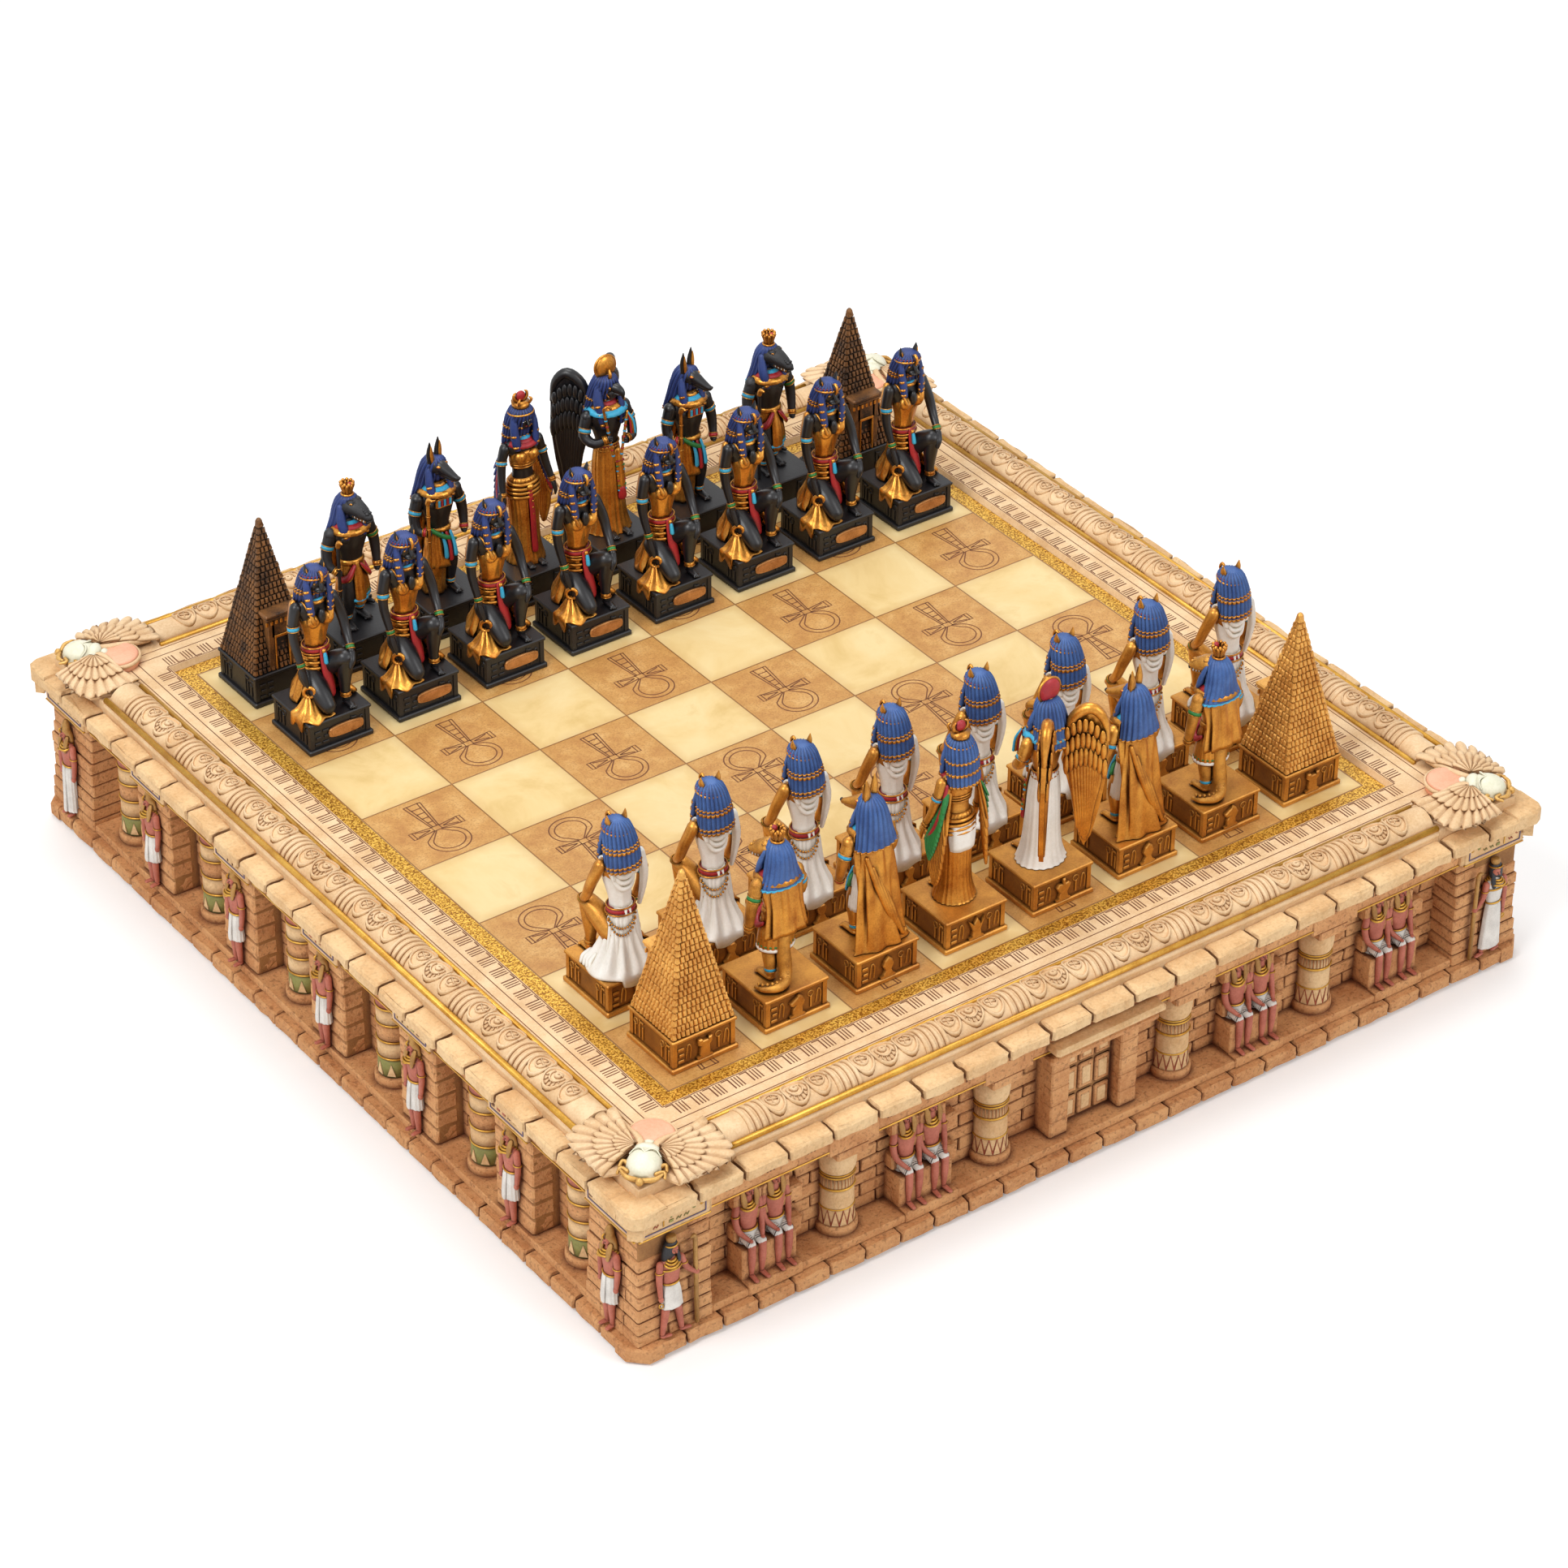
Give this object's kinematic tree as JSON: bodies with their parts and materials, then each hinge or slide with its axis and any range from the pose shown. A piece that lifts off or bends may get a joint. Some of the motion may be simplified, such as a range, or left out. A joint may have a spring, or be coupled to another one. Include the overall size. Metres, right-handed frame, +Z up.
{
  "type": "chess board with chess men",
  "caption": "Raised chess board styled as an ancient Egyptian temple, with pillared sides, winged scarab corners and figure chess men set out for play.",
  "frame": {"origin": "centre of the bottom of the felt pads, on the table", "axes": "+Z up; X along the colonnade sides; the gold men stand at -Y and the black men at +Y, so +X runs from file a to file h"},
  "size_m": [0.44, 0.44, 0.172],
  "materials": {
    "sandstone_resin": "cast resin painted as worn sandstone, matt",
    "gilded_resin": "cast resin with antique gilding, satin",
    "playing_surface": "cast resin painted as parchment stone with engraved squares, satin",
    "black_resin": "cast resin, black with gilt and coloured details, satin",
    "antique_gold_resin": "cast resin, antique gold with coloured details, satin",
    "panel_board": "plain hardboard",
    "screw_steel": "zinc plated",
    "pad_felt": "felt"
  },
  "bodies": {
    "board": {"playing_slab": "playing_surface", "frame_rail_front": "gilded_resin", "frame_rail_right": "gilded_resin", "frame_rail_back": "gilded_resin", "frame_rail_left": "gilded_resin", "cap_rail_front": "sandstone_resin", "cap_rail_right": "sandstone_resin", "cap_rail_back": "sandstone_resin", "cap_rail_left": "sandstone_resin", "base_rail_front": "sandstone_resin", "base_rail_right": "sandstone_resin", "base_rail_back": "sandstone_resin", "base_rail_left": "sandstone_resin", "bottom_panel": "panel_board", "panel_screws": "screw_steel", "felt_pads": "pad_felt", "wall_front": "sandstone_resin", "wall_right": "sandstone_resin", "wall_back": "sandstone_resin", "wall_left": "sandstone_resin", "corner_pier_front_left": "sandstone_resin", "corner_pier_front_right": "sandstone_resin", "corner_pier_back_right": "sandstone_resin", "corner_pier_back_left": "sandstone_resin", "corner_scarab_front_left": "gilded_resin", "corner_scarab_front_right": "gilded_resin", "corner_scarab_back_right": "gilded_resin", "corner_scarab_back_left": "gilded_resin"},
    "black_rook_a": {"black_rook_a": "black_resin"},
    "black_knight_b": {"black_knight_b": "black_resin"},
    "black_bishop_c": {"black_bishop_c": "black_resin"},
    "black_queen_d": {"black_queen_d": "black_resin"},
    "black_king_e": {"black_king_e": "black_resin"},
    "black_bishop_f": {"black_bishop_f": "black_resin"},
    "black_knight_g": {"black_knight_g": "black_resin"},
    "black_rook_h": {"black_rook_h": "black_resin"},
    "black_pawn_a": {"black_pawn_a": "black_resin"},
    "black_pawn_b": {"black_pawn_b": "black_resin"},
    "black_pawn_c": {"black_pawn_c": "black_resin"},
    "black_pawn_d": {"black_pawn_d": "black_resin"},
    "black_pawn_e": {"black_pawn_e": "black_resin"},
    "black_pawn_f": {"black_pawn_f": "black_resin"},
    "black_pawn_g": {"black_pawn_g": "black_resin"},
    "black_pawn_h": {"black_pawn_h": "black_resin"},
    "gold_rook_a": {"gold_rook_a": "antique_gold_resin"},
    "gold_knight_b": {"gold_knight_b": "antique_gold_resin"},
    "gold_bishop_c": {"gold_bishop_c": "antique_gold_resin"},
    "gold_queen_d": {"gold_queen_d": "antique_gold_resin"},
    "gold_king_e": {"gold_king_e": "antique_gold_resin"},
    "gold_bishop_f": {"gold_bishop_f": "antique_gold_resin"},
    "gold_knight_g": {"gold_knight_g": "antique_gold_resin"},
    "gold_rook_h": {"gold_rook_h": "antique_gold_resin"},
    "gold_pawn_a": {"gold_pawn_a": "antique_gold_resin"},
    "gold_pawn_b": {"gold_pawn_b": "antique_gold_resin"},
    "gold_pawn_c": {"gold_pawn_c": "antique_gold_resin"},
    "gold_pawn_d": {"gold_pawn_d": "antique_gold_resin"},
    "gold_pawn_e": {"gold_pawn_e": "antique_gold_resin"},
    "gold_pawn_f": {"gold_pawn_f": "antique_gold_resin"},
    "gold_pawn_g": {"gold_pawn_g": "antique_gold_resin"},
    "gold_pawn_h": {"gold_pawn_h": "antique_gold_resin"}
  },
  "joints": [
    {"name": "black_rook_a_lift", "type": "slide", "parent": "board", "child": "black_rook_a", "axis": [0, 0, 1], "range_m": [0, 0.12]},
    {"name": "black_knight_b_lift", "type": "slide", "parent": "board", "child": "black_knight_b", "axis": [0, 0, 1], "range_m": [0, 0.12]},
    {"name": "black_bishop_c_lift", "type": "slide", "parent": "board", "child": "black_bishop_c", "axis": [0, 0, 1], "range_m": [0, 0.12]},
    {"name": "black_queen_d_lift", "type": "slide", "parent": "board", "child": "black_queen_d", "axis": [0, 0, 1], "range_m": [0, 0.12]},
    {"name": "black_king_e_lift", "type": "slide", "parent": "board", "child": "black_king_e", "axis": [0, 0, 1], "range_m": [0, 0.12]},
    {"name": "black_bishop_f_lift", "type": "slide", "parent": "board", "child": "black_bishop_f", "axis": [0, 0, 1], "range_m": [0, 0.12]},
    {"name": "black_knight_g_lift", "type": "slide", "parent": "board", "child": "black_knight_g", "axis": [0, 0, 1], "range_m": [0, 0.12]},
    {"name": "black_rook_h_lift", "type": "slide", "parent": "board", "child": "black_rook_h", "axis": [0, 0, 1], "range_m": [0, 0.12]},
    {"name": "black_pawn_a_lift", "type": "slide", "parent": "board", "child": "black_pawn_a", "axis": [0, 0, 1], "range_m": [0, 0.12]},
    {"name": "black_pawn_b_lift", "type": "slide", "parent": "board", "child": "black_pawn_b", "axis": [0, 0, 1], "range_m": [0, 0.12]},
    {"name": "black_pawn_c_lift", "type": "slide", "parent": "board", "child": "black_pawn_c", "axis": [0, 0, 1], "range_m": [0, 0.12]},
    {"name": "black_pawn_d_lift", "type": "slide", "parent": "board", "child": "black_pawn_d", "axis": [0, 0, 1], "range_m": [0, 0.12]},
    {"name": "black_pawn_e_lift", "type": "slide", "parent": "board", "child": "black_pawn_e", "axis": [0, 0, 1], "range_m": [0, 0.12]},
    {"name": "black_pawn_f_lift", "type": "slide", "parent": "board", "child": "black_pawn_f", "axis": [0, 0, 1], "range_m": [0, 0.12]},
    {"name": "black_pawn_g_lift", "type": "slide", "parent": "board", "child": "black_pawn_g", "axis": [0, 0, 1], "range_m": [0, 0.12]},
    {"name": "black_pawn_h_lift", "type": "slide", "parent": "board", "child": "black_pawn_h", "axis": [0, 0, 1], "range_m": [0, 0.12]},
    {"name": "gold_rook_a_lift", "type": "slide", "parent": "board", "child": "gold_rook_a", "axis": [0, 0, 1], "range_m": [0, 0.12]},
    {"name": "gold_knight_b_lift", "type": "slide", "parent": "board", "child": "gold_knight_b", "axis": [0, 0, 1], "range_m": [0, 0.12]},
    {"name": "gold_bishop_c_lift", "type": "slide", "parent": "board", "child": "gold_bishop_c", "axis": [0, 0, 1], "range_m": [0, 0.12]},
    {"name": "gold_queen_d_lift", "type": "slide", "parent": "board", "child": "gold_queen_d", "axis": [0, 0, 1], "range_m": [0, 0.12]},
    {"name": "gold_king_e_lift", "type": "slide", "parent": "board", "child": "gold_king_e", "axis": [0, 0, 1], "range_m": [0, 0.12]},
    {"name": "gold_bishop_f_lift", "type": "slide", "parent": "board", "child": "gold_bishop_f", "axis": [0, 0, 1], "range_m": [0, 0.12]},
    {"name": "gold_knight_g_lift", "type": "slide", "parent": "board", "child": "gold_knight_g", "axis": [0, 0, 1], "range_m": [0, 0.12]},
    {"name": "gold_rook_h_lift", "type": "slide", "parent": "board", "child": "gold_rook_h", "axis": [0, 0, 1], "range_m": [0, 0.12]},
    {"name": "gold_pawn_a_lift", "type": "slide", "parent": "board", "child": "gold_pawn_a", "axis": [0, 0, 1], "range_m": [0, 0.12]},
    {"name": "gold_pawn_b_lift", "type": "slide", "parent": "board", "child": "gold_pawn_b", "axis": [0, 0, 1], "range_m": [0, 0.12]},
    {"name": "gold_pawn_c_lift", "type": "slide", "parent": "board", "child": "gold_pawn_c", "axis": [0, 0, 1], "range_m": [0, 0.12]},
    {"name": "gold_pawn_d_lift", "type": "slide", "parent": "board", "child": "gold_pawn_d", "axis": [0, 0, 1], "range_m": [0, 0.12]},
    {"name": "gold_pawn_e_lift", "type": "slide", "parent": "board", "child": "gold_pawn_e", "axis": [0, 0, 1], "range_m": [0, 0.12]},
    {"name": "gold_pawn_f_lift", "type": "slide", "parent": "board", "child": "gold_pawn_f", "axis": [0, 0, 1], "range_m": [0, 0.12]},
    {"name": "gold_pawn_g_lift", "type": "slide", "parent": "board", "child": "gold_pawn_g", "axis": [0, 0, 1], "range_m": [0, 0.12]},
    {"name": "gold_pawn_h_lift", "type": "slide", "parent": "board", "child": "gold_pawn_h", "axis": [0, 0, 1], "range_m": [0, 0.12]}
  ]
}
